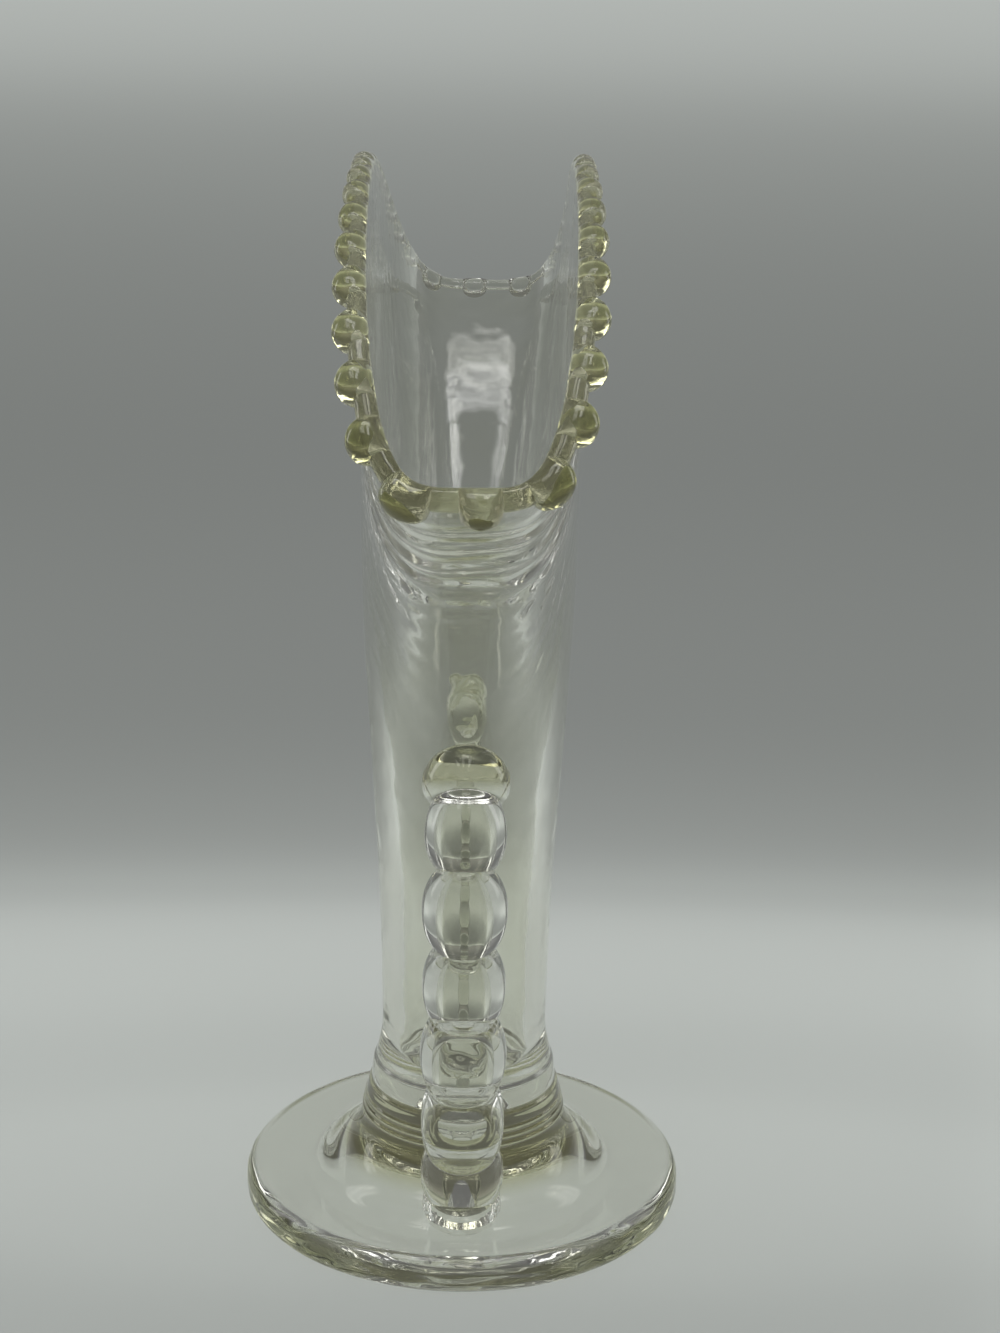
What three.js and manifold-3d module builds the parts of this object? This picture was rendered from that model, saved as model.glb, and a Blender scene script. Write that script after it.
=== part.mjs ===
// A pressed glass fan vase, in millimetres, +Z up, standing on z = 0 with its axis on Z.
// The fan spreads along Y, its two handles stand at -Y and +Y, and X crosses the thin way.

import * as THREE from 'three';
import { ParametricGeometry } from 'three/addons/geometries/ParametricGeometry.js';
import { mergeVertices } from 'three/addons/utils/BufferGeometryUtils.js';
import Module from 'manifold-3d';

// Driving dimensions of the foot
const FOOT_DIAMETER = 90;
const FOOT_EDGE_HEIGHT = 6.4;
const FOOT_EDGE_ROUND = 2.2;
const FOOT_RISE = 2.6;
const FOOT_FACETS = 48;
const FOOT_EDGE_STEPS = 4;

// Driving dimensions of the collar: its flare thins by a power, and its rings start part way up
const COLLAR_FLARE_DIAMETER = 54;
const COLLAR_HEIGHT = 17;
const COLLAR_HOLLOW = 2;
const COLLAR_RINGS = 3;
const COLLAR_RING_DEPTH = 0.5;
const COLLAR_RINGS_FROM = 0.35;
const COLLAR_FLARE_STEPS = 3;
const COLLAR_FACETS = 36;

// Driving dimensions of the body. Those that end in FROM or TO are shares of the wall's height
const STEM_FOOT_DIAMETER = 39;
const STEM_DIAMETER = 34.4;
const STEM_STRAIGHT_FROM = 0.07;
const WELL_FLOOR_DEPTH = 5;
const WALL_AT_STEM = 3.2;
const WALL_AT_RIM = 2.2;
const WALL_THINS_TO = 0.5;
const FAN_SPAN = 172;
const FAN_WIDTH = 41.4;
const FAN_END_HEIGHT = 171;
const FAN_TOP_HEIGHT = 213.7;
const FAN_FLARE = 3.2;
const FAN_WIDENS_FROM = 0.12;
const FAN_WIDENS_TO = 0.62;
const FAN_SQUARENESS = 4.4;
const FAN_SQUARES_FROM = 0.45;
const BODY_FACETS = 48;
const BODY_STEPS = 14;
const WELL_STEPS = 3;

// Driving dimensions of the rim beads
const RIM_BEADS = 40;
const END_BEAD_DIAMETER = 6.8;
const SIDE_BEAD_THICKNESS = 3.8;
const SIDE_BEAD_LENGTH = 5.6;
const RIM_BEAD_PROUD = 0.9;
const FIRST_BEAD_OFFSET = 2.4;
const BEAD_CROWDING = 0.05;
const RIM_BEAD_FACETS = 8;
const RIM_BEAD_STEPS = 6;

// Driving dimensions of the handles, waist by waist from the foot up: how far out from the axis and
// how far up each waist lies. The last waist lies on the body's wall, so it needs no reach
const HANDLE_BEADS = 8;
const HANDLE_WAIST_REACHES = [ 25.5, 27.8, 31, 36.2, 39.9, 41.5, 40.4, 34 ];
const HANDLE_WAIST_HEIGHTS = [ 6, 13.8, 24.4, 41, 57.2, 72.4, 87.8, 99.2, 105.5 ];
const HANDLE_WAIST_DIAMETERS = [ 14.4, 14.8, 14.2, 14, 13, 11.8, 11.8, 13, 12.4 ];
const HANDLE_BEAD_DIAMETERS = [ 15.4, 16.2, 16, 16.4, 15.6, 15.9, 15.2, 16.5 ];
const HANDLE_BEAD_FACETS = 16;
const HANDLE_BEAD_STEPS = 6;

// The gap that parts two members where one is cut to fit the other
const CLEARANCE = 0.3;

// How finely slopes and lengths along the wall are measured
const SLOPE_STEP = 1e-3;
const RIM_SAMPLES = 1440;
const MERGE_DISTANCE = 1e-4;

const footRadius = FOOT_DIAMETER / 2;
const flareRadius = COLLAR_FLARE_DIAMETER / 2;
const stemFootRadius = STEM_FOOT_DIAMETER / 2;
const stemRadius = STEM_DIAMETER / 2;
const footTop = FOOT_EDGE_HEIGHT + FOOT_RISE;
const collarTop = footTop + COLLAR_HEIGHT;
const wellFloor = collarTop + WELL_FLOOR_DEPTH;

const wasm = await Module();
wasm.setup();

const { lerp, inverseLerp, smoothstep, clamp } = THREE.MathUtils;

// One closed body from a geometry: shared points merged, collapsed faces dropped, faces turned out
function closed( geometry ) {

	const bare = geometry.clone();
	bare.deleteAttribute( 'normal' );
	bare.deleteAttribute( 'uv' );
	const merged = mergeVertices( bare, MERGE_DISTANCE );
	const position = merged.getAttribute( 'position' );
	const index = merged.getIndex().array;
	const corner = [ new THREE.Vector3(), new THREE.Vector3(), new THREE.Vector3() ];
	const faces = [];
	let volume = 0;
	for ( let i = 0; i < index.length; i += 3 ) {

		const [ a, b, c ] = [ index[ i ], index[ i + 1 ], index[ i + 2 ] ];
		if ( a === b || b === c || c === a ) continue;
		corner[ 0 ].fromBufferAttribute( position, a );
		corner[ 1 ].fromBufferAttribute( position, b );
		corner[ 2 ].fromBufferAttribute( position, c );
		volume += corner[ 0 ].dot( corner[ 1 ].cross( corner[ 2 ] ) );
		faces.push( [ a, b, c ] );

	}

	const turned = volume < 0 ? faces.map( ( [ a, b, c ] ) => [ a, c, b ] ) : faces;
	merged.setIndex( turned.flat() );
	return merged;

}

function solid( geometry ) {

	const body = closed( geometry );
	return new wasm.Manifold( new wasm.Mesh( {
		numProp: 3,
		vertProperties: new Float32Array( body.getAttribute( 'position' ).array ),
		triVerts: new Uint32Array( body.getIndex().array ),
	} ) );

}

// What stays of a piece when a cut leaves a chip beyond the wall
function largest( manifold ) {

	const parts = manifold.decompose();
	return parts.reduce( ( best, part ) => ( part.volume() > best.volume() ? part : best ) );

}

function geometryOf( manifold ) {

	const mesh = manifold.getMesh();
	const geometry = new THREE.BufferGeometry();
	geometry.setAttribute( 'position', new THREE.BufferAttribute( mesh.vertProperties, 3 ) );
	geometry.setIndex( new THREE.BufferAttribute( mesh.triVerts, 1 ) );
	geometry.computeVertexNormals();
	return geometry;

}

// A surface that runs round once in its first number and from pole to pole in its second
function roundSurface( point, facets, steps ) {

	const place = ( round, along, target ) => target.copy( point( round % 1, along ) );
	return new ParametricGeometry( place, facets, steps );

}

function upright( profile, facets ) {

	return new THREE.LatheGeometry( profile, facets ).rotateX( Math.PI / 2 );

}

// The foot: a flat underside, a rounded edge and a top that climbs gently towards the collar
function footProfile( extra ) {

	const edge = FOOT_EDGE_ROUND;
	const points = [ new THREE.Vector2( 0, 0 ), new THREE.Vector2( footRadius - edge / 2, 0 ) ];
	points.push( new THREE.Vector2( footRadius, edge / 2 ) );
	for ( let i = 0; i <= FOOT_EDGE_STEPS; i ++ ) {

		const angle = ( i / FOOT_EDGE_STEPS ) * Math.PI / 2;
		const inset = edge * ( 1 - Math.cos( angle ) );
		const height = FOOT_EDGE_HEIGHT - edge * ( 1 - Math.sin( angle ) );
		points.push( new THREE.Vector2( footRadius - inset, height + extra ) );

	}

	points.push( new THREE.Vector2( flareRadius, footTop + extra ) );
	points.push( new THREE.Vector2( 0, footTop + extra ) );
	return points;

}

// How far the collar's side stands from the axis, at a share of its height
function collarRadius( share ) {

	const flare = lerp( stemFootRadius, flareRadius, ( 1 - share ) ** COLLAR_HOLLOW );
	const ringed = Math.max( 0, inverseLerp( COLLAR_RINGS_FROM, 1, share ) );
	return flare + COLLAR_RING_DEPTH * Math.sin( Math.PI * COLLAR_RINGS * ringed ) ** 2;

}

// The collar: a hollow flare off the foot with fine rings above it
function collarProfile( extra ) {

	const shares = [];
	for ( let step = 0; step < COLLAR_FLARE_STEPS; step ++ ) {

		shares.push( COLLAR_RINGS_FROM * step / COLLAR_FLARE_STEPS );

	}

	const ringSteps = 2 * COLLAR_RINGS;
	for ( let step = 0; step <= ringSteps; step ++ ) {

		shares.push( lerp( COLLAR_RINGS_FROM, 1, step / ringSteps ) );

	}

	const side = shares.map( ( share ) => {

		return new THREE.Vector2( collarRadius( share ) + extra, lerp( footTop, collarTop, share ) );

	} );
	return [ new THREE.Vector2( 0, footTop ), ...side, new THREE.Vector2( 0, collarTop ) ];

}

// How far a squared-off circle of unit width reaches at an angle: 1 all round when its power is 2
function squaredReach( angle, power ) {

	const across = Math.abs( Math.sin( angle ) ) ** power;
	const along = Math.abs( Math.cos( angle ) ) ** power;
	return ( across + along ) ** ( - 1 / power );

}

// The rim climbs along a circular arc from each end of the fan to its middle
function rimHeight( reach ) {

	const rise = FAN_TOP_HEIGHT - FAN_END_HEIGHT;
	const half = FAN_SPAN / 2;
	const radius = ( half * half + rise * rise ) / ( 2 * rise );
	return FAN_TOP_HEIGHT - radius + Math.sqrt( radius * radius - reach * reach );

}

// The middle of the wall: round is the turn about the axis from -Y, up runs from collar to rim
function wallPoint( round, up ) {

	const angle = round * 2 * Math.PI;
	const power = lerp( 2, FAN_SQUARENESS, smoothstep( up, FAN_SQUARES_FROM, 1 ) );
	const reach = squaredReach( angle, power );
	const across = reach * Math.sin( angle );
	const along = reach * Math.cos( angle );
	const outside = lerp( stemFootRadius, stemRadius, smoothstep( up, 0, STEM_STRAIGHT_FROM ) );
	const stem = outside - WALL_AT_STEM / 2;
	const widening = smoothstep( up, FAN_WIDENS_FROM, FAN_WIDENS_TO );
	const halfWidth = lerp( stem, FAN_WIDTH / 2 - RIM_BEAD_PROUD, widening );
	const halfSpan = lerp( stem, FAN_SPAN / 2, up ** FAN_FLARE );
	const top = rimHeight( Math.abs( along ) * FAN_SPAN / 2 );
	return new THREE.Vector3( halfWidth * across, - halfSpan * along, lerp( collarTop, top, up ) );

}

// The direction up the wall, from the collar to the rim
function wallRise( round, up ) {

	const low = wallPoint( round, Math.max( up - SLOPE_STEP, 0 ) );
	return wallPoint( round, Math.min( up + SLOPE_STEP, 1 ) ).sub( low ).normalize();

}

// The direction out of the wall
function wallNormal( round, up ) {

	const back = wallPoint( round - SLOPE_STEP, up );
	const sideways = wallPoint( round + SLOPE_STEP, up ).sub( back );
	return sideways.cross( wallRise( round, up ) ).normalize();

}

function wallSide( round, up, offset ) {

	return wallPoint( round, up ).addScaledVector( wallNormal( round, up ), offset );

}

function halfWall( up ) {

	return lerp( WALL_AT_STEM, WALL_AT_RIM, Math.min( 1, up / WALL_THINS_TO ) ) / 2;

}

// The bowl's skin from the middle of its underside, up the outside, over the rim, down to the
// well's floor. The extra makes the same bowl a little fatter all over
function bodySurface( extra ) {

	const outerFoot = WELL_STEPS;
	const outerRim = outerFoot + BODY_STEPS;
	const innerRim = outerRim + 1;
	const brimRow = innerRim + BODY_STEPS;
	const brim = ( WELL_FLOOR_DEPTH + WALL_AT_STEM ) / ( FAN_TOP_HEIGHT - collarTop );
	const side = ( round, up, way ) => {

		const place = wallSide( round, up, way * ( halfWall( up ) + extra ) );
		return up === 1 ? place.addScaledVector( wallRise( round, 1 ), extra ) : place;

	};

	const point = ( round, along ) => {

		const row = Math.round( along * ( brimRow + WELL_STEPS ) );
		if ( row <= outerFoot ) {

			const edge = side( round, 0, 1 ).setZ( collarTop );
			return new THREE.Vector3( 0, 0, collarTop ).lerp( edge, row / outerFoot );

		}

		if ( row <= outerRim ) return side( round, ( row - outerFoot ) / BODY_STEPS, 1 );
		if ( row <= brimRow ) return side( round, lerp( 1, brim, ( row - innerRim ) / BODY_STEPS ), - 1 );
		const sunk = ( row - brimRow ) / WELL_STEPS;
		const edge = side( round, brim, - 1 );
		const inward = Math.cos( sunk * Math.PI / 2 );
		const height = wellFloor + ( edge.z - wellFloor ) * ( 1 - sunk ) ** 2;
		return new THREE.Vector3( edge.x * inward, edge.y * inward, height - extra );

	};

	return roundSurface( point, BODY_FACETS, brimRow + WELL_STEPS );

}

// How far the outer wall stands from the axis at the end of the fan, at a height
function wallReach( height ) {

	const up = ( height - collarTop ) / ( FAN_END_HEIGHT - collarTop );
	return - wallSide( 0, up, WALL_AT_STEM / 2 ).y;

}

// Places round the rim at even steps of its length, a little closer together at the far end
function rimPlaces() {

	const lengths = [ 0 ];
	for ( let i = 1; i <= RIM_SAMPLES; i ++ ) {

		const before = wallPoint( ( i - 1 ) / RIM_SAMPLES, 1 );
		lengths.push( lengths[ i - 1 ] + wallPoint( i / RIM_SAMPLES, 1 ).distanceTo( before ) );

	}

	const total = lengths[ RIM_SAMPLES ];
	const first = FIRST_BEAD_OFFSET / total / ( 1 + BEAD_CROWDING );
	const places = [];
	for ( let bead = 0; bead < RIM_BEADS; bead ++ ) {

		const turn = first + bead / RIM_BEADS;
		const share = turn + BEAD_CROWDING * Math.sin( 2 * Math.PI * turn ) / ( 2 * Math.PI );
		const wanted = ( share % 1 ) * total;
		const next = lengths.findIndex( ( length ) => length > wanted );
		const part = inverseLerp( lengths[ next - 1 ], lengths[ next ], wanted );
		places.push( ( next - 1 + part ) / RIM_SAMPLES );

	}

	return places;

}

// A rim bead: a ball that stands proud of the wall's outer side and is cut to sit over the rim
function rimBead( place, bodyWithGap ) {

	const centre = wallPoint( place, 1 );
	const reach = Math.abs( centre.y ) / ( FAN_SPAN / 2 );
	const thickness = lerp( SIDE_BEAD_THICKNESS, END_BEAD_DIAMETER, reach );
	const length = lerp( SIDE_BEAD_LENGTH, END_BEAD_DIAMETER, reach );
	const outward = wallNormal( place, 1 );
	const upward = wallRise( place, 1 );
	const forward = upward.clone().cross( outward );
	centre.addScaledVector( outward, ( thickness - WALL_AT_RIM ) / 2 - CLEARANCE );
	const ball = new THREE.SphereGeometry( 0.5, RIM_BEAD_FACETS, RIM_BEAD_STEPS );
	ball.scale( length, thickness, thickness );
	ball.applyMatrix4( new THREE.Matrix4().makeBasis( forward, outward, upward ).setPosition( centre ) );
	return largest( solid( ball ).subtract( bodyWithGap ) );

}

// The handle's waists seen from the side, and the smooth line through them
const handleWaists = HANDLE_WAIST_HEIGHTS.map( ( height, waist ) => {

	const reach = HANDLE_WAIST_REACHES[ waist ] ?? wallReach( height ) + CLEARANCE;
	return new THREE.Vector3( 0, reach, height );

} );
const handleLine = new THREE.CatmullRomCurve3( handleWaists );

// One bead of a handle, between two waists, its flat ends square to the handle's line
function handleBead( bead, side ) {

	const trim = CLEARANCE / 2 / handleWaists[ bead ].distanceTo( handleWaists[ bead + 1 ] );
	const belly = HANDLE_BEAD_DIAMETERS[ bead ] / 2;
	const lastRow = HANDLE_BEAD_STEPS + 2;
	const point = ( round, along ) => {

		const row = Math.round( along * lastRow );
		const share = clamp( ( row - 1 ) / HANDLE_BEAD_STEPS, 0, 1 );
		const at = ( bead + lerp( trim, 1 - trim, share ) ) / HANDLE_BEADS;
		const centre = handleLine.getPoint( at );
		const tangent = handleLine.getTangent( at );
		const [ low, high ] = HANDLE_WAIST_DIAMETERS.slice( bead, bead + 2 );
		const waist = lerp( low, high, share ) / 2;
		const bulge = Math.sqrt( 1 - ( 2 * share - 1 ) ** 2 );
		const radius = row === 0 || row === lastRow ? 0 : lerp( waist, belly, bulge );
		const angle = round * 2 * Math.PI;
		const outward = radius * Math.cos( angle );
		return new THREE.Vector3(
			radius * Math.sin( angle ),
			side * ( centre.y + outward * tangent.z ),
			centre.z - outward * tangent.y,
		);

	};

	return roundSurface( point, HANDLE_BEAD_FACETS, lastRow );

}

const CLEAR = 0xdfe3d6;
const OLIVE = 0xb9b98a;
const POLISH = 0.05;
const SEE_THROUGH = 0.6;

const vase = new THREE.Group();

function add( name, geometry, color ) {

	const glass = new THREE.MeshStandardMaterial( { color, roughness: POLISH, metalness: 0 } );
	glass.transparent = true;
	glass.opacity = SEE_THROUGH;
	const mesh = new THREE.Mesh( geometry, glass );
	mesh.name = name;
	vase.add( mesh );

}

add( 'foot', closed( upright( footProfile( 0 ), FOOT_FACETS ) ), CLEAR );
add( 'collar', closed( upright( collarProfile( 0 ), COLLAR_FACETS ) ), CLEAR );
add( 'body', closed( bodySurface( 0 ) ), CLEAR );

const bodyWithGap = solid( bodySurface( CLEARANCE ) );
const footWithGap = solid( upright( footProfile( CLEARANCE ), FOOT_FACETS ) );
const collarWithGap = solid( upright( collarProfile( 2 * CLEARANCE ), COLLAR_FACETS ) );
const stemWithGap = bodyWithGap.add( footWithGap ).add( collarWithGap );

for ( const [ word, side ] of [ [ 'near', - 1 ], [ 'far', 1 ] ] ) {

	for ( let bead = 0; bead < HANDLE_BEADS; bead ++ ) {

		const cut = largest( solid( handleBead( bead, side ) ).subtract( stemWithGap ) );
		add( `${ word }_handle_bead_${ bead + 1 }`, geometryOf( cut ), CLEAR );

	}

}

rimPlaces().forEach( ( place, bead ) => {

	const number = String( bead + 1 ).padStart( 2, '0' );
	add( `rim_bead_${ number }`, geometryOf( rimBead( place, bodyWithGap ) ), OLIVE );

} );

export default vase;
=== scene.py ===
"""A pressed glass fan vase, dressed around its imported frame.

Lengths are in metres. The vase stands on z = 0 with its axis on Z, the fan spreads along Y, and the
camera looks at one end of the fan from a little above. The real vase is one piece of glass. Its
members are separate closed meshes here, and where one member lies inside another its skin is clear
of any glass, so that light crosses the join unbent.
"""

import logging
import math
from dataclasses import dataclass, field, replace
from enum import Enum

import bpy
import numpy as np
from mathutils import Matrix, Vector
from mathutils.bvhtree import BVHTree


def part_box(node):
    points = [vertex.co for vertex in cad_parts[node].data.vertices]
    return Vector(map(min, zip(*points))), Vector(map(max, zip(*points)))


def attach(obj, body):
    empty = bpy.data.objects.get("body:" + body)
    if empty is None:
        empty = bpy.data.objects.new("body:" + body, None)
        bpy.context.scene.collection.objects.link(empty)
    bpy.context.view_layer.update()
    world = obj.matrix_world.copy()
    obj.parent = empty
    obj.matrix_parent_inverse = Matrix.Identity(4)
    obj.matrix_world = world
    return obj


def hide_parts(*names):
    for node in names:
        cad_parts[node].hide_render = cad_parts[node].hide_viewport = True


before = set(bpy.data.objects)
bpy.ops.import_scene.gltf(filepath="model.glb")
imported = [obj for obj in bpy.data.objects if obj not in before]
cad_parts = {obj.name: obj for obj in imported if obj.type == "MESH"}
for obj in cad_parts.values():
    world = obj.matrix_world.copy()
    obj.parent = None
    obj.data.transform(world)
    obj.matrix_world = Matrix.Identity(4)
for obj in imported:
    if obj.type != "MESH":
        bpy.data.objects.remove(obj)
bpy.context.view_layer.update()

MM = 0.001
TURN_FACETS = 240
SHARP_ANGLE = math.radians(38)

log = logging.getLogger("fan_vase")


class Slot(Enum):
    """The record's material slots."""

    CLEAR = "clear_glass"
    FOOT = "foot_glass"
    RIM = "rim_glass"


class End(Enum):
    """The fan's two ends, each as its way along Y."""

    NEAR = -1
    FAR = 1


def smoothstep(value: np.ndarray, low: float, high: float) -> np.ndarray:
    """A soft step from 0 at low to 1 at high.

    Args:
        value: The numbers to step.
        low: Where the step starts.
        high: Where the step ends.

    Returns:
        The steps, as an array of value's shape.
    """
    share = np.clip((value - low) / (high - low), 0, 1)
    return share * share * (3 - 2 * share)


def mix(start: np.ndarray | float, end: np.ndarray | float, share: np.ndarray | float) -> np.ndarray:
    """The numbers a share of the way from start to end."""
    return start + (end - start) * share


def unit(vectors: np.ndarray) -> np.ndarray:
    """The vectors at length 1."""
    return vectors / np.linalg.norm(vectors, axis=-1, keepdims=True)


@dataclass(frozen=True)
class Waviness:
    """The soft unevenness that pressing and fire polishing leave in glass, as a sum of plane waves.

    Args:
        height: How far the surface strays, at about one standard deviation.
        length: The shortest wave's length. The longest may be LONGEST times that.
        seed: The fixed seed of the waves' directions and phases.
        waves: How many waves are summed.
    """

    height: float
    length: float
    seed: int
    waves: int = 14

    LONGEST = 2.2

    def at(self, points: np.ndarray) -> np.ndarray:
        """How far the surface stands out at points.

        Args:
            points: An array whose last axis holds x, y and z.

        Returns:
            The heights, in metres.
        """
        draw = np.random.default_rng(self.seed)
        directions = unit(draw.normal(size=(self.waves, 3)))
        lengths = self.length * draw.uniform(1, self.LONGEST, self.waves)
        phases = draw.uniform(0, 2 * math.pi, self.waves)
        angles = points @ (directions / lengths[:, None] * 2 * math.pi).T + phases
        return self.height * np.sin(angles).sum(-1) / math.sqrt(self.waves / 2)


@dataclass
class Skin:
    """A closed surface of points and faces, with a mark on each face that lies in a join."""

    points: np.ndarray
    faces: list[tuple[int, ...]]
    joined: np.ndarray

    @classmethod
    def from_rows(cls, rows: list[np.ndarray], joined_rows: range) -> "Skin":
        """A surface lofted through rings of points from pole to pole.

        Args:
            rows: Rings of points with equal counts. The first and the last are one point each.
            joined_rows: The strips between rows that lie in a join.

        Returns:
            The closed surface, facing outwards where the rows climb its outside
            anticlockwise.
        """
        starts = np.cumsum([0] + [len(row) for row in rows])
        faces: list[tuple[int, ...]] = []
        joined: list[bool] = []
        for strip in range(len(rows) - 1):
            low, high = rows[strip], rows[strip + 1]
            count = max(len(low), len(high))
            for i in range(count):
                j = (i + 1) % count
                a, b = starts[strip] + i, starts[strip] + j
                c, d = starts[strip + 1] + j, starts[strip + 1] + i
                if len(low) == 1:
                    faces.append((starts[strip], c, d))
                elif len(high) == 1:
                    faces.append((a, b, starts[strip + 1]))
                else:
                    faces.append((a, b, c, d))
                joined.append(strip in joined_rows)
        return cls(np.concatenate(rows), faces, np.array(joined))

    @classmethod
    def from_mesh(cls, mesh: bpy.types.Mesh) -> "Skin":
        """A surface read from a mesh, with no face in a join.

        Args:
            mesh: The mesh to read.

        Returns:
            The surface.
        """
        points = np.empty(len(mesh.vertices) * 3)
        mesh.vertices.foreach_get("co", points)
        faces = [tuple(polygon.vertices) for polygon in mesh.polygons]
        return cls(points.reshape(-1, 3), faces, np.zeros(len(faces), bool))

    def tree(self) -> BVHTree:
        """A search tree of the surface as it is now."""
        return BVHTree.FromPolygons(self.points.tolist(), self.faces)

    def heights_above(self, tree: BVHTree, reach: float) -> np.ndarray:
        """How far each point stands outside another surface.

        Args:
            tree: The other surface.
            reach: Points farther off than this get this height.

        Returns:
            The heights, negative inside.
        """
        heights = np.full(len(self.points), reach)
        for i, point in enumerate(self.points):
            place, normal, _, distance = tree.find_nearest(Vector(point), reach)
            if place is not None:
                side = (Vector(point) - place).dot(normal)
                heights[i] = math.copysign(distance, side)
        return heights

    def fused_into(self, trees: list[BVHTree], reach: float, slack: float) -> "Skin":
        """This surface with the parts that lie inside other members marked as joins.

        Args:
            trees: The other members' surfaces.
            reach: How far from them to look.
            slack: How far outside them still counts as inside, which hides hairline gaps.

        Returns:
            The surface, its faces cut along the seams.
        """
        heights = np.min([self.heights_above(tree, reach) for tree in trees], axis=0) - slack
        points = self.points.tolist()
        faces: list[tuple[int, ...]] = []
        joined: list[bool] = []
        cuts: dict[tuple[int, int], int] = {}

        def cut(a: int, b: int) -> int:
            """The point where an edge meets the seam.

            Args:
                a: The number of the edge's first point.
                b: The number of its second point.

            Returns:
                The number of the point on the seam.
            """
            key = (min(a, b), max(a, b))
            if key not in cuts:
                share = heights[key[0]] / (heights[key[0]] - heights[key[1]])
                start, end = self.points[key[0]], self.points[key[1]]
                cuts[key] = len(points)
                points.append((start + (end - start) * share).tolist())
            return cuts[key]

        for face, was_joined in zip(self.faces, self.joined):
            inside = [heights[i] < 0 for i in face]
            if was_joined or all(inside) or not any(inside):
                faces.append(face)
                joined.append(bool(was_joined or all(inside)))
                continue
            for k in range(1, len(face) - 1):
                triangle = (face[0], face[k], face[k + 1])
                marks = [heights[i] < 0 for i in triangle]
                if all(marks) or not any(marks):
                    faces.append(triangle)
                    joined.append(all(marks))
                    continue
                lone = marks.index(sum(marks) == 1)
                a, b, c = (triangle[(lone + turn) % 3] for turn in range(3))
                faces += [(a, cut(a, b), cut(c, a)), (cut(a, b), b, c, cut(c, a))]
                joined += [marks[lone], not marks[lone]]
        return Skin(np.array(points), faces, np.array(joined))

    def to_object(self, name: str, glass: bpy.types.Material, join: bpy.types.Material) -> bpy.types.Object:
        """A smooth object of this surface.

        Args:
            name: The object's name.
            glass: The finish of what shows.
            join: The finish of what lies in a join.

        Returns:
            The object, linked to the scene.
        """
        mesh = bpy.data.meshes.new(name)
        mesh.from_pydata(self.points.tolist(), [], self.faces)
        mesh.materials.append(glass)
        mesh.materials.append(join)
        mesh.polygons.foreach_set("material_index", self.joined.astype(int))
        mesh.polygons.foreach_set("use_smooth", np.ones(len(self.faces), bool))
        mesh.set_sharp_from_angle(angle=SHARP_ANGLE)
        self.part_at_joins(mesh)
        mesh.validate()
        piece = bpy.data.objects.new(name, mesh)
        bpy.context.scene.collection.objects.link(piece)
        return piece

    def part_at_joins(self, mesh: bpy.types.Mesh) -> None:
        """Marks the edges between what shows and what lies in a join as sharp.

        Args:
            mesh: This surface's mesh, with the materials on its faces.
        """
        shows, hides = set(), set()
        for polygon in mesh.polygons:
            (hides if polygon.material_index else shows).update(polygon.edge_keys)
        seam = shows & hides
        for edge in mesh.edges:
            if edge.key in seam:
                edge.use_edge_sharp = True


def turned(profile: np.ndarray) -> list[np.ndarray]:
    """Rings of points from a profile turned about Z.

    Args:
        profile: Rows of radius and height. A radius of 0 becomes a pole.

    Returns:
        One ring for each row.
    """
    angles = np.arange(TURN_FACETS) / TURN_FACETS * 2 * math.pi
    ring = np.stack([np.sin(angles), -np.cos(angles), np.zeros_like(angles)], -1)
    up = np.array([0, 0, 1.0])
    return [
        (ring * radius if radius > 0 else np.zeros((1, 3))) + up * height
        for radius, height in profile
    ]


def arc(centre: tuple[float, float], radius: float, start: float, end: float, steps: int) -> np.ndarray:
    """Points along an arc in a profile.

    Args:
        centre: The arc's centre, as radius and height.
        radius: The arc's own radius.
        start: The first angle in degrees, 0 outwards and 90 upwards.
        end: The last angle.
        steps: How many points.

    Returns:
        Rows of radius and height.
    """
    angles = np.radians(np.linspace(start, end, steps))
    return np.array(centre) + radius * np.stack([np.cos(angles), np.sin(angles)], -1)


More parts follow.
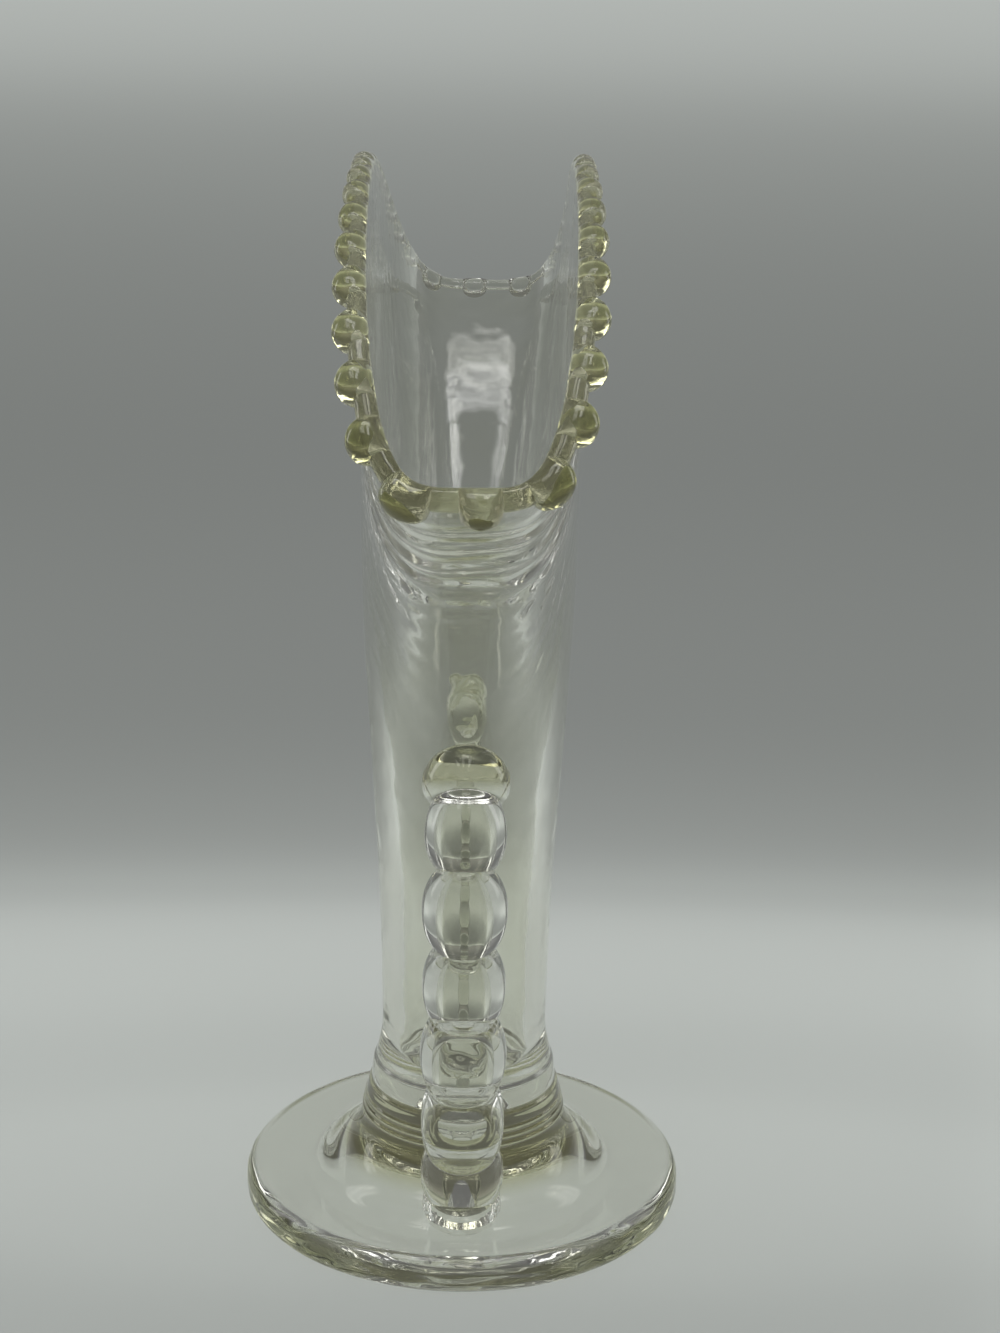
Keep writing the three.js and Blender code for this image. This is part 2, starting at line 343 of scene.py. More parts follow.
class NodeGraph:
    """A node tree, written one node at a time."""

    def __init__(self, tree: bpy.types.NodeTree) -> None:
        """Takes the tree to write into."""
        self.tree = tree

    def add(self, kind: str, inputs: dict | None = None, **settings: object) -> bpy.types.Node:
        """A new node.

        Args:
            kind: The node's type.
            inputs: Its inputs by name or number: sockets to link from, or plain values.
            settings: Its own properties.

        Returns:
            The node.
        """
        node = self.tree.nodes.new(kind)
        for name, value in settings.items():
            setattr(node, name, value)
        return self.feed(node, inputs or {})

    def feed(self, node: bpy.types.Node, inputs: dict) -> bpy.types.Node:
        """Gives a node its inputs.

        Args:
            node: The node.
            inputs: Its inputs by name or number: sockets to link from, or plain values.

        Returns:
            The same node.
        """
        for key, value in inputs.items():
            if isinstance(value, bpy.types.NodeSocket):
                self.tree.links.new(value, node.inputs[key])
            else:
                node.inputs[key].default_value = value
        return node

    def maths(self, operation: str, *values: object, clamped: bool = False) -> bpy.types.NodeSocket:
        """The result of one Math node."""
        inputs = dict(enumerate(values))
        return self.add("ShaderNodeMath", inputs, operation=operation, use_clamp=clamped).outputs[0]

    def vector_maths(self, operation: str, *vectors: object) -> bpy.types.NodeSocket:
        """The vector, or the length or product, that one Vector Math node gives."""
        node = self.add("ShaderNodeVectorMath", dict(enumerate(vectors)), operation=operation)
        return node.outputs["Value" if operation in ("LENGTH", "DOT_PRODUCT") else "Vector"]

    def split(self, vector: bpy.types.NodeSocket) -> bpy.types.NodeOutputs:
        """A vector's X, Y and Z."""
        return self.add("ShaderNodeSeparateXYZ", {0: vector}).outputs

    def noise(self, place: bpy.types.NodeSocket, scale: float, detail: float = 2.0) -> bpy.types.NodeSocket:
        """Soft noise from 0 to 1."""
        inputs = {"Vector": place, "Scale": scale, "Detail": detail}
        return self.add("ShaderNodeTexNoise", inputs).outputs["Fac"]

    def blend(self, share: bpy.types.NodeSocket, start: object, end: object) -> bpy.types.NodeSocket:
        """The colour a share of the way from start to end."""
        inputs = {"Factor": share, "A": start, "B": end}
        return self.add("ShaderNodeMix", inputs, data_type="RGBA").outputs["Result"]

    def ranged(
        self, value: bpy.types.NodeSocket, ends: tuple, levels: tuple = (0, 1), kind: str = "SMOOTHSTEP"
    ) -> bpy.types.NodeSocket:
        """The level that a value stands for.

        Args:
            value: The value.
            ends: The values at which the first and the last level are reached.
            levels: Those two levels, which hold beyond the ends.
            kind: How the levels run in between, as Blender names it.

        Returns:
            The level.
        """
        names = ("From Min", "From Max", "To Min", "To Max")
        inputs = {"Value": value, **dict(zip(names, (*ends, *levels)))}
        return self.add("ShaderNodeMapRange", inputs, interpolation_type=kind).outputs["Result"]


@dataclass(frozen=True)
class GlassFinish:
    """Clear pressed glass with a faint tint that deepens in patches.

    Args:
        name: The material's name.
        tint: The colour of light that has crossed two faces.
        deep_tint: The same where the glass is deeper in colour; on the rim's near end and the
            near handle's top it is painted shade.
        ripple_size: The size of the fine ripples in the polish.
        ripple_height: Their height.
        patch_size: The size of the patches of deeper colour.
        ripple_stretch: How many times the ripples are drawn out along X, Y and Z.
        deep_from: Where given, the tint deepens outwards between these two distances from the
            axis instead of in patches.
        deep_scale: How many times a length along X, Y and Z counts in those distances.
        deep_way: Where given, those distances are taken along this way instead.
        far_tint: Where given, the tint at the end away from deep_way.
        far_from: The two distances along deep_way between which far_tint gives way to tint.
        shade: How much of a lamp's light crosses one face on its way to what stands behind.
    """

    name: str
    tint: tuple[float, float, float]
    deep_tint: tuple[float, float, float]
    ripple_size: float
    ripple_height: float
    patch_size: float = 20 * MM
    ripple_stretch: tuple[float, float, float] = (1, 1, 1)
    deep_from: tuple[float, float] | None = None
    deep_scale: tuple[float, float, float] = (1, 1, 0)
    deep_way: tuple[float, float, float] | None = None
    far_tint: tuple[float, float, float] | None = None
    far_from: tuple[float, float] = (0, 0)
    shade: tuple[float, float, float] = (0.93, 0.935, 0.92)

    REFRACTION = 1.5
    RIPPLE_DETAIL = 0.4
    PATCH_ENDS = (0.35, 0.65)
    SMEARS = (0, 0.03)

    def make(self) -> bpy.types.Material:
        """Makes the finish.

        Returns:
            The material.
        """
        material = bpy.data.materials.new(self.name)
        material.use_nodes = True
        nodes, graph = material.node_tree.nodes, NodeGraph(material.node_tree)
        place = graph.add("ShaderNodeTexCoord").outputs["Object"]
        stretch = {"Vector": place, "Scale": [1 / times for times in self.ripple_stretch]}
        stretched = graph.add("ShaderNodeMapping", stretch).outputs["Vector"]
        ripples = graph.noise(stretched, 1 / self.ripple_size, self.RIPPLE_DETAIL)
        relief = {"Strength": 1, "Distance": self.ripple_height, "Height": ripples}
        shader = graph.feed(nodes["Principled BSDF"], {
            "Transmission Weight": 1,
            "IOR": self.REFRACTION,
            "Base Color": self.colour(graph, place),
            "Normal": graph.add("ShaderNodeBump", relief).outputs["Normal"],
            "Roughness": graph.ranged(ripples, (0, 1), self.SMEARS, "LINEAR"),
        })
        path = graph.add("ShaderNodeLightPath").outputs
        lighting = graph.maths("MAXIMUM", path["Is Shadow Ray"], path["Is Diffuse Ray"])
        clear = graph.add("ShaderNodeBsdfTransparent", {"Color": (*self.shade, 1)})
        sides = {"Fac": lighting, 1: shader.outputs["BSDF"], 2: clear.outputs["BSDF"]}
        blend = graph.add("ShaderNodeMixShader", sides)
        graph.feed(nodes["Material Output"], {"Surface": blend.outputs["Shader"]})
        return material

    def colour(self, graph: NodeGraph, place: bpy.types.NodeSocket) -> bpy.types.NodeSocket:
        """The tint at each place.

        Args:
            graph: The material's nodes.
            place: The place on the object.

        Returns:
            The colour.
        """
        tint, deep_tint = (*self.tint, 1), (*self.deep_tint, 1)
        if self.deep_from is None:
            patches = graph.noise(place, 1 / self.patch_size)
            return graph.blend(graph.ranged(patches, self.PATCH_ENDS), tint, deep_tint)
        scaled = graph.vector_maths("MULTIPLY", place, self.deep_scale)
        if self.deep_way is None:
            reach = graph.vector_maths("LENGTH", scaled)
        else:
            reach = graph.vector_maths("DOT_PRODUCT", scaled, self.deep_way)
        if self.far_tint is not None:
            tint = graph.blend(graph.ranged(reach, self.far_from), (*self.far_tint, 1), tint)
        return graph.blend(graph.ranged(reach, self.deep_from), tint, deep_tint)


@dataclass(frozen=True)
class JoinFinish:
    """The finish of a face inside a join: nothing at all, so light crosses it unbent.

    Args:
        name: The material's name.
    """

    name: str = "join"

    def make(self) -> bpy.types.Material:
        """Makes the finish.

        Returns:
            The material.
        """
        material = bpy.data.materials.new(self.name)
        material.use_nodes = True
        material.node_tree.nodes["Principled BSDF"].inputs["Alpha"].default_value = 0
        return material


CLEAR_GLASS = GlassFinish(
    "clear_glass",
    tint=(0.93, 0.935, 0.88),
    deep_tint=(0.90, 0.905, 0.83),
    patch_size=22 * MM,
    ripple_size=4.2 * MM,
    ripple_height=0.09 * MM,
    ripple_stretch=(1, 1, 1.4),
)
FAR_HANDLE_GLASS = GlassFinish(
    "far_handle_glass",
    tint=(0.87, 0.875, 0.82),
    deep_tint=(0.82, 0.825, 0.76),
    patch_size=22 * MM,
    ripple_size=6 * MM,
    ripple_height=0.02 * MM,
)
NEAR_HANDLE_GLASS = replace(
    FAR_HANDLE_GLASS,
    name="near_handle_glass",
    # Painted shade: the top of the near handle, where it meets the wall, is painted a deep olive.
    deep_tint=(0.46, 0.45, 0.26),
    deep_from=(83.5 * MM, 86.5 * MM),
    deep_scale=(1, 1, 1),
    deep_way=(0, 0.5, 1),
)
FOOT_GLASS = GlassFinish(
    "foot_glass",
    tint=(0.975, 0.98, 0.93),
    deep_tint=(0.34, 0.345, 0.19),
    ripple_size=6 * MM,
    ripple_height=0.02 * MM,
    deep_from=(42.9 * MM, 44.2 * MM),
    deep_scale=(1, 0.97, 0),
    shade=(0.985, 0.985, 0.975),
)
RIM_GLASS = GlassFinish(
    "rim_glass",
    tint=(0.76, 0.75, 0.45),
    # Painted shade: the rim's own olive is painted deeper towards the near end, which faces the camera.
    # Towards the far end it is paler.
    deep_tint=(0.44, 0.43, 0.21),
    ripple_size=2.4 * MM,
    ripple_height=0.12 * MM,
    deep_from=(64 * MM, 84 * MM),
    deep_way=(0, -1, 0),
    far_tint=(0.92, 0.925, 0.84),
    far_from=(-60 * MM, 20 * MM),
)
COLLAR_GLASS = GlassFinish(
    "collar_glass",
    tint=(0.95, 0.955, 0.89),
    deep_tint=(0.62, 0.61, 0.36),
    ripple_size=7 * MM,
    ripple_height=0.015 * MM,
    deep_from=(27 * MM, 23 * MM),
)


@dataclass(frozen=True)
class FanWall:
    """The middle of the body's wall: a round stem that widens, squares off and spreads into a fan.

    A place on it is a turn about the axis, from 0 at -Y, and a share of the way up.
    """

    foot_height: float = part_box("body")[0].z
    end_height: float = 171 * MM
    far_end_height: float = 175 * MM
    top_height: float = 211.8 * MM
    far_lean: float = 2.4 * MM
    span: float = 172 * MM
    width: float = 39.6 * MM
    stem_foot_radius: float = 18.9 * MM
    stem_radius: float = 17.2 * MM
    stem_straight_from: float = 0.07
    thickness_at_stem: float = 3.2 * MM
    thickness_at_rim: float = 2.2 * MM
    thins_to: float = 0.5
    inner_swell: float = 1.8 * MM
    swell_ends: tuple[float, float] = (0.7, 1.0)
    flare: float = 3.2
    widens: tuple[float, float] = (0.12, 0.62)
    squareness: float = 4.4
    squares_from: float = 0.45
    slope_step: float = 1e-3

    def rim_height(self, along: np.ndarray) -> np.ndarray:
        """How high the rim is, on a circular arc for each half of the fan.

        Args:
            along: Places along Y.

        Returns:
            The heights.
        """
        rise = self.top_height - np.where(along > 0, self.far_end_height, self.end_height)
        half = self.span / 2
        radius = (half * half + rise * rise) / (2 * rise)
        return self.top_height - radius + np.sqrt(radius * radius - along * along)

    def half_thickness(self, up: np.ndarray) -> np.ndarray:
        """Half the wall's thickness."""
        share = np.minimum(1, up / self.thins_to)
        return mix(self.thickness_at_stem, self.thickness_at_rim, share) / 2

    def swell(self, up: np.ndarray) -> np.ndarray:
        """How much thicker the wall is on its inside."""
        return self.inner_swell * (1 - smoothstep(up, *self.swell_ends))

    def middle(self, turn: np.ndarray, up: np.ndarray) -> np.ndarray:
        """Points in the middle of the wall.

        Args:
            turn: Their turns about the axis.
            up: Their shares of the way up.

        Returns:
            The points.
        """
        angle = turn * 2 * math.pi
        power = mix(2, self.squareness, smoothstep(up, self.squares_from, 1))
        reach = (np.abs(np.sin(angle)) ** power + np.abs(np.cos(angle)) ** power) ** (-1 / power)
        across, along = reach * np.sin(angle), reach * np.cos(angle)
        outside = mix(self.stem_foot_radius, self.stem_radius, smoothstep(up, 0, self.stem_straight_from))
        stem = outside - self.thickness_at_stem / 2
        half_width = mix(stem, self.width / 2, smoothstep(up, *self.widens))
        half_span = mix(stem, self.span / 2, np.maximum(up, 0) ** self.flare)
        top = self.rim_height(-along * self.span / 2)
        height = mix(self.foot_height, top, up)
        lean = self.far_lean * np.maximum(-along, 0) ** 2 * np.maximum(up, 0) ** self.flare
        return np.stack([half_width * across + lean, -half_span * along, height], -1)

    def rise(self, turn: np.ndarray, up: np.ndarray) -> np.ndarray:
        """The directions up the wall."""
        low = self.middle(turn, np.maximum(up - self.slope_step, 0))
        return unit(self.middle(turn, np.minimum(up + self.slope_step, 1)) - low)

    def outward(self, turn: np.ndarray, up: np.ndarray) -> np.ndarray:
        """The directions out of the wall."""
        sideways = self.middle(turn + self.slope_step, up) - self.middle(turn - self.slope_step, up)
        return unit(np.cross(sideways, self.rise(turn, up)))

    def reach_at(self, height: float) -> float:
        """How far the outer face stands from the axis at the fan's end.

        Args:
            height: The height to measure at.

        Returns:
            The distance.
        """
        up = np.array((height - self.foot_height) / (self.end_height - self.foot_height))
        place = self.middle(np.array(0.0), up)
        return -float((place + self.outward(np.array(0.0), up) * self.half_thickness(up))[1])


@dataclass
class Body:
    """The hollow fan-shaped bowl with its thick floor."""

    wall: FanWall
    rows_outside: int = 170
    rows_low: int = 36
    rows_lip: int = 8
    rows_inside: int = 120
    rows_floor: int = 16
    floor_height: float = 31 * MM
    ring_count: int = 5
    ring_pitch: float = 0.037
    ring_drift: Waviness = Waviness(0.8, 15 * MM, 11)
    ring_height: float = 0.3 * MM
    rings_below: float = 0.965
    first_ring_grows: float = 0.5
    last_ring_fades: tuple[float, float] = (-0.5, 0.3)
    ledge_height: float = 30.3 * MM
    ledge_depth: float = 0.4 * MM
    ledge_softness: float = 0.18 * MM
    ledge_fades: tuple[float, float] = (36 * MM, 62 * MM)
    rings_from: tuple[float, float] = (0.45, 0.8)
    crowding: float = 0.55
    outer_waves: Waviness = Waviness(0.012 * MM, 18 * MM, 3)
    inner_waves: Waviness = Waviness(0.014 * MM, 16 * MM, 5)
    floor_waves: Waviness = Waviness(0.2 * MM, 5 * MM, 8)
    floor_waves_from: float = 0.3
    waves_start: float = 0.05
    waves_stop: float = 0.97
    low_end: float = 0.05
    underside_rings: tuple[float, ...] = (0.35, 0.7, 1)

    def ring_relief(self, up: np.ndarray, middle: np.ndarray) -> np.ndarray:
        """The soft rings that follow the rim at the near end.

        Args:
            up: Shares of the way up the wall.
            middle: The points in the wall's middle there.

        Returns:
            The rings' heights on the outer face.
        """
        depth = (self.rings_below - up) / self.ring_pitch
        grows = smoothstep(depth, 0, self.first_ring_grows)
        fades = 1 - smoothstep(depth - self.ring_count, *self.last_ring_fades)
        near = smoothstep(-middle[:, 1] / (self.wall.span / 2), *self.rings_from)
        swing = np.sin(2 * math.pi * depth + self.ring_drift.at(middle))
        return self.ring_height * swing * grows * fades * near

    def ledge_relief(self, height: np.ndarray) -> np.ndarray:
        """The step in from the collar's width, as heights on the outer face."""
        above = 1 / (1 + np.exp((self.ledge_height - height) / self.ledge_softness))
        return -self.ledge_depth * above * (1 - smoothstep(height, *self.ledge_fades))

    def skin(self) -> Skin:
        """The bowl's surface, its flat underside in a join.

        Returns:
            The closed surface.
        """
        wall = self.wall
        turn = np.arange(TURN_FACETS) / TURN_FACETS
        turn = turn - self.crowding * np.sin(4 * math.pi * turn) / (4 * math.pi)
        level = np.full_like(turn, 1.0)

        def side(up: float, way: int, waves: Waviness) -> np.ndarray:
            """One ring on a face of the wall.

            Args:
                up: Its share of the way up.
                way: 1 for the outer face and -1 for the inner one.
                waves: The face's unevenness.

            Returns:
                The ring's points.
            """
            ups = level * up
            middle, outward = wall.middle(turn, ups), wall.outward(turn, ups)
            settle = smoothstep(ups, 0, self.waves_start) * (1 - smoothstep(ups, self.waves_stop, 1))
            offset = way * wall.half_thickness(ups) + way * waves.at(middle) * settle
            if way > 0:
                offset = offset + self.ring_relief(ups, middle) + self.ledge_relief(middle[:, 2])
            else:
                offset = offset - wall.swell(ups)
            return middle + outward * offset[:, None]

        rows = [np.array([[0, 0, wall.foot_height]])]
        edge = side(0, 1, self.outer_waves)
        edge[:, 2] = wall.foot_height
        centre = rows[0]
        rows += [mix(centre, edge, share) for share in self.underside_rings]
        low = np.linspace(0, self.low_end, self.rows_low)[1:]
        high = np.linspace(self.low_end, 1, self.rows_outside)[1:]
        rows += [side(up, 1, self.outer_waves) for up in (*low, *high)]
        half = wall.half_thickness(level)[:, None]
        middle, outward, rise = (way(turn, level) for way in (wall.middle, wall.outward, wall.rise))
        for angle in np.linspace(0, math.pi, self.rows_lip + 2)[1:-1]:
            rows.append(middle + half * (outward * math.cos(angle) + rise * math.sin(angle)))
        full_height = wall.top_height - wall.foot_height
        brim_up = (self.floor_height - wall.foot_height + wall.thickness_at_stem) / full_height
        rows += [side(up, -1, self.inner_waves) for up in np.linspace(1, brim_up, self.rows_inside)]
        brim = rows[-1]
        for share in np.linspace(0, 1, self.rows_floor + 1)[1:]:
            inward = math.cos(share * math.pi / 2) if share < 1 else 0
            ring = brim * [inward, inward, 1]
            ring[:, 2] = self.floor_height + (brim[:, 2] - self.floor_height) * (1 - share) ** 2
            ring[:, 2] += self.floor_waves.at(ring) * smoothstep(np.array(share), 0, self.floor_waves_from)
            rows.append(ring if share < 1 else ring[:1])
        return Skin.from_rows(rows, range(len(self.underside_rings)))


@dataclass
class Collar:
    """The solid ringed stem that spreads from the body down to the foot."""

    wall: FanWall
    lift: float = 0.4 * MM
    low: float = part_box("collar")[0].z + lift
    high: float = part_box("collar")[1].z
    lean: float = math.radians(12)
    hollow_top: float = 19 * MM
    hollow_radius: float = 13 * MM
    ledge: float = 25.3 * MM
    ledge_depth: float = 0.4 * MM
    ledge_softness: float = 0.14 * MM
    ledge_grows: tuple[float, float] = (0.2, 0.6)
    ridges: tuple[float, ...] = (22.3 * MM, 20.8 * MM, 19.4 * MM)
    ridge_depth: float = 0.18 * MM
    ridge_softness: float = 0.3 * MM
    rows: int = 130

    def hollow_centre(self) -> tuple[float, float]:
        """The centre of the hollow that spreads the collar into the foot.

        Returns:
            Its distance from the axis and its height.
        """
        side = self.wall.stem_foot_radius + (self.high - self.hollow_top) * math.tan(self.lean)
        return (
            side + self.hollow_radius * math.cos(self.lean),
            self.hollow_top + self.hollow_radius * math.sin(self.lean),
        )

    def foot_radius(self) -> float:
        """How far the collar reaches from the axis where it meets the foot."""
        return float(self.radius(np.array(self.low)))

    def radius(self, height: np.ndarray) -> np.ndarray:
        """The side's distance from the axis.

        Args:
            height: The heights to measure at.

        Returns:
            The distances.
        """
        share = (height - self.low) / (self.high - self.low)
        side = self.wall.stem_foot_radius + (self.high - height) * math.tan(self.lean)
        centre, level = self.hollow_centre()
        drop = np.clip(level - height, 0, self.hollow_radius)
        hollow = centre - np.sqrt(self.hollow_radius**2 - drop * drop)
        radius = np.where(height > self.hollow_top, side, hollow)
        step = 1 / (1 + np.exp((height - self.ledge) / self.ledge_softness))
        radius = radius + self.ledge_depth * step * smoothstep(share, *self.ledge_grows)
        for ridge in self.ridges:
            away = (height - ridge) / self.ridge_softness
            radius = radius + self.ridge_depth * np.exp(-(away**2))
        return radius

    def skin(self) -> Skin:
        """The collar's surface, both flat ends in a join.

        Returns:
            The closed surface.
        """
        heights = np.linspace(self.low, self.high, self.rows)
        side = np.stack([self.radius(heights), heights], -1)
        side[-1, 0] = self.wall.stem_foot_radius
        profile = np.concatenate([[(0, self.low)], side, [(0, self.high)]])
        skin = Skin.from_rows(turned(profile), range(0))
        skin.joined[:TURN_FACETS] = True
        skin.joined[-TURN_FACETS:] = True
        return skin


@dataclass
class Foot:
    """The round foot: a thick edge and a top that climbs to the collar."""

    collar: Collar
    radius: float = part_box("foot")[1].x
    edge_height: float = 7.4 * MM
    top_round: float = 3.4 * MM
    bottom_round: float = 2.4 * MM
    recess: float = 9 * MM
    recess_radius: float = 12 * MM
    recess_slope: float = 20 * MM
    recess_rings: tuple[float, ...] = (0, 1 / 3, 2 / 3)
    rows_top: int = 44
    rows_recess: int = 24
    rows_bottom_round: int = 20
    rows_edge: int = 4
    rows_top_round: int = 28
    top_round_end: float = 84
    edge_waves: Waviness = Waviness(0.03 * MM, 1.1 * MM, 21, 30)
    edge_stretch: tuple[float, float, float] = (0.2, 0.2, 1)
    edge_blend: float = 2 * MM
    top_waves: Waviness = Waviness(0.045 * MM, 11 * MM, 22)
    top_blend: float = 4 * MM

    def top_height(self, reach: np.ndarray, shoulder: float) -> np.ndarray:
        """How high the top is at a distance from the axis: a cone that runs into the collar's hollow.

        Args:
            reach: The distances.
            shoulder: Where the top meets the edge's round.

        Returns:
            The heights.
        """
        centre, level = self.collar.hollow_centre()
        curve = self.collar.hollow_radius
        up, out = level - self.edge_height, shoulder - centre
        spare = out * out - curve * curve
        slope = (up * out - math.sqrt(up * up * out * out - spare * (up * up - curve * curve))) / spare
        touch = centre - curve * math.sin(math.atan(slope))
        inside = np.minimum(centre - reach, curve)
        hollow = level - np.sqrt(curve * curve - inside * inside)
        return np.where(reach < touch, hollow, self.edge_height + (shoulder - reach) * slope)

    def skin(self) -> Skin:
        """The foot's surface, its flat top under the collar in a join.

        Returns:
            The closed surface.
        """
        height, join = self.collar.low, self.collar.foot_radius()
        shoulder = self.radius - self.top_round
        reach = np.linspace(shoulder, join, self.rows_top)
        top = np.stack([reach, self.top_height(reach, shoulder)], -1)
        top[-1, 1] = height
        recess = self.recess_radius + self.recess_slope * np.linspace(0, 1, self.rows_recess)
        step = self.recess * (1 - smoothstep(recess, recess[0], recess[-1]))
        edge = np.linspace(self.bottom_round, self.edge_height - self.top_round, self.rows_edge + 1)[1:-1]
        low_centre = (self.radius - self.bottom_round, self.bottom_round)
        high_centre = (shoulder, self.edge_height - self.top_round)
        profile = np.concatenate([
            [(self.recess_radius * share, self.recess) for share in self.recess_rings],
            np.stack([recess, step], -1),
            arc(low_centre, self.bottom_round, -90, 0, self.rows_bottom_round),
            [(self.radius, level) for level in edge],
            arc(high_centre, self.top_round, 0, self.top_round_end, self.rows_top_round),
            top[1:],
            [(0, height)],
        ])
        rows = turned(profile)
        for ring in rows:
            distance = np.linalg.norm(ring[:, :2], axis=1)
            outer = smoothstep(distance, shoulder - self.edge_blend, self.radius)
            upper = ring[0, 2] > self.edge_height / 2
            if len(ring) > 1 and (upper or distance[0] > self.radius - self.bottom_round):
                way = unit(ring * [1, 1, 0])
                ring += way * (self.edge_waves.at(ring * self.edge_stretch) * outer)[:, None]
                gentle = smoothstep(distance, join, join + self.top_blend) * (1 - outer)
                ring[:, 2] += self.top_waves.at(ring) * gentle * (ring[:, 2] > self.edge_height / 2)
        return Skin.from_rows(rows, range(len(rows) - 2, len(rows) - 1))


class BeadTree(NodeGraph):
    """Geometry Nodes that thread a line with glass beads.

    The line's points carry each bead's phase from 0 to 1, the greatest and the least radius, and
    the way that a bead leans off the line.
    """

    ATTRIBUTES = {"phase": "FLOAT", "belly": "FLOAT", "waist": "FLOAT", "lean": "FLOAT_VECTOR"}
    INPUTS = {
        "Facets": "NodeSocketInt",
        "Seam Height": "NodeSocketFloat",
        "Seam Half Angle": "NodeSocketFloat",
        "Fullness": "NodeSocketFloat",
        "Glass": "NodeSocketMaterial",
    }
    SEAM_SOFTNESS = 1.2

    def __init__(self) -> None:
        """Builds the tree."""
        super().__init__(bpy.data.node_groups.new("bead_chain", "GeometryNodeTree"))
        face = self.tree.interface
        face.new_socket("Line", in_out="INPUT", socket_type="NodeSocketGeometry")
        self.sockets = {
            name: face.new_socket(name, in_out="INPUT", socket_type=kind).identifier
            for name, kind in self.INPUTS.items()
        }
        face.new_socket("Beads", in_out="OUTPUT", socket_type="NodeSocketGeometry")
        self.build()

    def read(self, name: str) -> bpy.types.NodeSocket:
        """The value of one of the line's attributes."""
        node = self.add("GeometryNodeInputNamedAttribute", {"Name": name}, data_type=self.ATTRIBUTES[name])
        return node.outputs["Attribute"]

    def build(self) -> None:
        """Links the nodes: radius from phase, sweep, lean off the line, realize and finish."""
        entry = self.add("NodeGroupInput").outputs
        curve = self.add("GeometryNodeMeshToCurve", {"Mesh": entry["Line"]}).outputs["Curve"]
        centred = self.maths("MULTIPLY_ADD", self.read("phase"), 2.0, -1.0)
        square = self.maths("MULTIPLY", centred, centred)
        belly = self.maths("POWER", self.read("belly"), 2.0)
        waist = self.maths("POWER", self.read("waist"), 2.0)
        drop = self.maths("MULTIPLY", self.maths("SUBTRACT", belly, waist), square)
        slim = self.maths("SQRT", self.maths("SUBTRACT", belly, drop))
        bulge = self.maths("SQRT", self.maths("MAXIMUM", self.maths("SUBTRACT", 1.0, square), 0.0))
        swell = self.maths("SUBTRACT", self.read("belly"), self.read("waist"))
        full = self.maths("MULTIPLY_ADD", swell, bulge, self.read("waist"))
        extra = self.maths("SUBTRACT", full, slim)
        radius = self.maths("MULTIPLY_ADD", extra, entry["Fullness"], slim)
        proud = self.maths("SUBTRACT", radius, self.read("waist"))
        sized = self.add("GeometryNodeSetCurveRadius", {"Curve": curve, "Radius": radius})
        section = self.section(entry)
        sweep = {"Curve": sized.outputs["Curve"], "Profile Curve": section, "Scale": radius}
        swept = self.add("GeometryNodeCurveToMesh", {**sweep, "Fill Caps": True})
        lean = self.add("ShaderNodeVectorMath", {0: self.read("lean"), "Scale": proud}, operation="SCALE")
        leaning = self.add(
            "GeometryNodeSetPosition",
            {"Geometry": swept.outputs["Mesh"], "Offset": lean.outputs["Vector"]},
        )
        real = self.add("GeometryNodeRealizeInstances", {"Geometry": leaning.outputs["Geometry"]})
        glass = self.add(
            "GeometryNodeSetMaterial", {"Geometry": real.outputs["Geometry"], "Material": entry["Glass"]}
        )
        self.add("NodeGroupOutput", {"Beads": glass.outputs["Geometry"]})

    def section(self, entry: bpy.types.NodeInputs) -> bpy.types.NodeSocket:
        """The beads' round section, with a mould seam raised on two sides of it.

        Args:
            entry: The tree's inputs.

        Returns:
            The section's curve.
        """
        circle = self.add("GeometryNodeCurvePrimitiveCircle", {"Resolution": entry["Facets"], "Radius": 1.0})
        place = self.add("GeometryNodeInputPosition").outputs["Position"]
        parts = self.split(place)
        angle = self.maths("ABSOLUTE", self.maths("ARCTAN2", parts["Y"], self.maths("ABSOLUTE", parts["X"])))
        half = entry["Seam Half Angle"]
        foot_of_seam = self.maths("MULTIPLY", half, self.SEAM_SOFTNESS)
        ridge = self.ranged(angle, (half, foot_of_seam), (entry["Seam Height"], 0))
        offset = self.add("ShaderNodeVectorMath", {0: place, "Scale": ridge}, operation="SCALE")
        raised = self.add(
            "GeometryNodeSetPosition",
            {"Geometry": circle.outputs["Curve"], "Offset": offset.outputs["Vector"]},
        )
        return raised.outputs["Geometry"]

    def thread(self, line: "BeadLine", glass: bpy.types.Material) -> Skin:
        """The chain of beads along a line.

        Args:
            line: The line and its beads.
            glass: The beads' finish.

        Returns:
            The chain as a plain closed surface.
        """
        mesh = bpy.data.meshes.new("line")
        count = len(line.points)
        last = count if line.closed else count - 1
        mesh.from_pydata(line.points.tolist(), [(i, (i + 1) % count) for i in range(last)], [])
        for name, kind in self.ATTRIBUTES.items():
            values = np.asarray(getattr(line, name), float).ravel()
            part = "vector" if kind == "FLOAT_VECTOR" else "value"
            mesh.attributes.new(name, kind, "POINT").data.foreach_set(part, values)
        piece = bpy.data.objects.new("line", mesh)
        bpy.context.scene.collection.objects.link(piece)
        modifier = piece.modifiers.new("beads", "NODES")
        modifier.node_group = self.tree
        modifier[self.sockets["Facets"]] = line.facets
        modifier[self.sockets["Seam Height"]] = line.seam_height
        modifier[self.sockets["Seam Half Angle"]] = line.seam_half_angle
        modifier[self.sockets["Fullness"]] = line.fullness
        modifier[self.sockets["Glass"]] = glass
        graph = bpy.context.evaluated_depsgraph_get()
        swept = bpy.data.meshes.new_from_object(piece.evaluated_get(graph))
        piece.modifiers.remove(modifier)
        bpy.data.objects.remove(piece)
        skin = Skin.from_mesh(swept)
        bpy.data.meshes.remove(swept)
        return skin


@dataclass
class BeadLine:
    """A line to thread with beads, with what each of its points says about them."""

    points: np.ndarray
    phase: np.ndarray
    belly: np.ndarray
    waist: np.ndarray
    lean: np.ndarray
    closed: bool
    facets: int
    fullness: float = 0.0
    seam_height: float = 0.0
    seam_half_angle: float = 0.1


